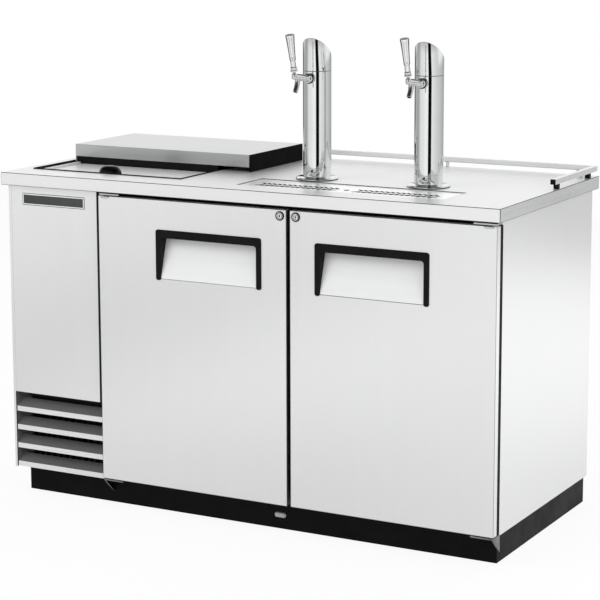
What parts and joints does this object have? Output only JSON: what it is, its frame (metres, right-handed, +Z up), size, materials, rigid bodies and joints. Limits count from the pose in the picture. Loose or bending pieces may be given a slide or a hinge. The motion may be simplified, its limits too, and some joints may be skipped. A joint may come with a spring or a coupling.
{
  "type": "draft beer dispenser",
  "caption": "Stainless direct-draw beer cabinet with hinged doors, a louvre grille, a sliding lid under a hood, a drip tray, tap columns with slanted caps and a low rail.",
  "frame": {"origin": "on the floor at the middle of the footprint", "axes": "+X to the right seen from the front, along the worktop's length; -Y to the front, where the doors are; +Z up"},
  "size_m": [1.496, 0.689, 1.3122],
  "materials": {
    "brushed_panels": "satin",
    "brushed_worktop": "satin",
    "polished_steel": "polished",
    "galvanised_steel": "satin",
    "aluminium_fins": "satin",
    "black_paint": "satin",
    "black_trim": "matte",
    "black_gloss": "gloss",
    "black_rubber": "matte",
    "white_liner": "satin",
    "clear_plastic": "gloss"
  },
  "bodies": {
    "cabinet": {"plinth": "black_paint", "cabinet_floor": "galvanised_steel", "left_side_panel": "brushed_panels", "machine_rear_panel": "galvanised_steel", "right_side_panel": "brushed_panels", "back_panel": "galvanised_steel", "partition_wall": "white_liner", "cold_room_ceiling": "black_trim", "door_mullion": "black_trim", "keg_floor_plate": "galvanised_steel", "worktop": "brushed_worktop", "well_collar": "black_trim", "bottle_well": "brushed_panels", "hood_cover": "brushed_panels", "hood_end_right": "black_paint", "hood_wiper": "black_rubber", "rear_rail": "brushed_panels", "side_rail": "brushed_panels", "drip_pan": "brushed_worktop", "front_panel": "brushed_panels", "louvre_grille": "brushed_panels", "condenser_coil": "aluminium_fins", "condenser_fan_housing": "galvanised_steel", "compressor": "black_paint", "power_inlet": "black_trim", "evaporator_housing": "white_liner", "hinge_upper_left": "polished_steel", "hinge_lower_left": "polished_steel", "column_left": "polished_steel", "column_cap_left": "polished_steel", "shank_left": "polished_steel", "faucet_left": "polished_steel", "beer_tube_left": "polished_steel", "hinge_upper_right": "polished_steel", "hinge_lower_right": "polished_steel", "column_right": "polished_steel", "column_cap_right": "polished_steel", "shank_right": "polished_steel", "faucet_right": "polished_steel", "beer_tube_right": "polished_steel"},
    "left_door": {"left_door_shell": "brushed_panels", "left_door_gasket": "black_rubber", "left_door_handle": "black_trim", "left_handle_plate": "brushed_panels"},
    "left_lock": {"left_door_lock": "polished_steel"},
    "left_tap": {"tap_lever_left": "polished_steel", "tap_handle_left": "clear_plastic"},
    "right_door": {"right_door_shell": "brushed_panels", "right_door_gasket": "black_rubber", "right_door_handle": "black_trim", "right_handle_plate": "brushed_panels"},
    "right_lock": {"right_door_lock": "polished_steel"},
    "right_tap": {"tap_lever_right": "polished_steel", "tap_handle_right": "clear_plastic"},
    "lid": {"sliding_lid": "brushed_panels", "lid_knob": "black_gloss"},
    "condenser_fan": {"condenser_fan_blade": "galvanised_steel"},
    "evaporator_fan": {"evaporator_fan_blade": "white_liner"},
    "thermostat": {"thermostat_knob": "black_gloss"},
    "drip_plate": {"drip_plate": "brushed_worktop"}
  },
  "joints": [
    {"name": "left_door_swing", "type": "hinge", "parent": "cabinet", "child": "left_door", "pos_m": [-0.419, -0.3335, 0.475], "axis": [0, 0, 1], "range_deg": [-110, 0]},
    {"name": "right_door_swing", "type": "hinge", "parent": "cabinet", "child": "right_door", "pos_m": [0.7314, -0.3335, 0.475], "axis": [0, 0, 1], "range_deg": [0, 110]},
    {"name": "left_lock_turn", "type": "hinge", "parent": "left_door", "child": "left_lock", "pos_m": [0.134, -0.3415, 0.8535], "axis": [0, 1, 0], "range_deg": [0, 90]},
    {"name": "right_lock_turn", "type": "hinge", "parent": "right_door", "child": "right_lock", "pos_m": [0.1806, -0.3415, 0.8535], "axis": [0, 1, 0], "range_deg": [0, 90]},
    {"name": "lid_slide", "type": "slide", "parent": "cabinet", "child": "lid", "axis": [0, 1, 0], "range_m": [0, 0.15]},
    {"name": "left_tap_pull", "type": "hinge", "parent": "cabinet", "child": "left_tap", "pos_m": [0.095, -0.1895, 1.207], "axis": [1, 0, 0], "range_deg": [0, 30]},
    {"name": "right_tap_pull", "type": "hinge", "parent": "cabinet", "child": "right_tap", "pos_m": [0.425, -0.1895, 1.207], "axis": [1, 0, 0], "range_deg": [0, 30]},
    {"name": "condenser_fan_spin", "type": "hinge", "parent": "cabinet", "child": "condenser_fan", "pos_m": [-0.575, -0.21, 0.185], "axis": [0, 1, 0], "continuous": true},
    {"name": "evaporator_fan_spin", "type": "hinge", "parent": "cabinet", "child": "evaporator_fan", "pos_m": [-0.3307, 0.04, 0.561], "axis": [1, 0, 0], "continuous": true},
    {"name": "thermostat_turn", "type": "hinge", "parent": "cabinet", "child": "thermostat", "pos_m": [-0.3387, -0.128, 0.49], "axis": [0, 1, 0], "range_deg": [0, 300]},
    {"name": "drip_plate_lift", "type": "slide", "parent": "cabinet", "child": "drip_plate", "axis": [0, 0, 1], "range_m": [0, 0.06]}
  ]
}
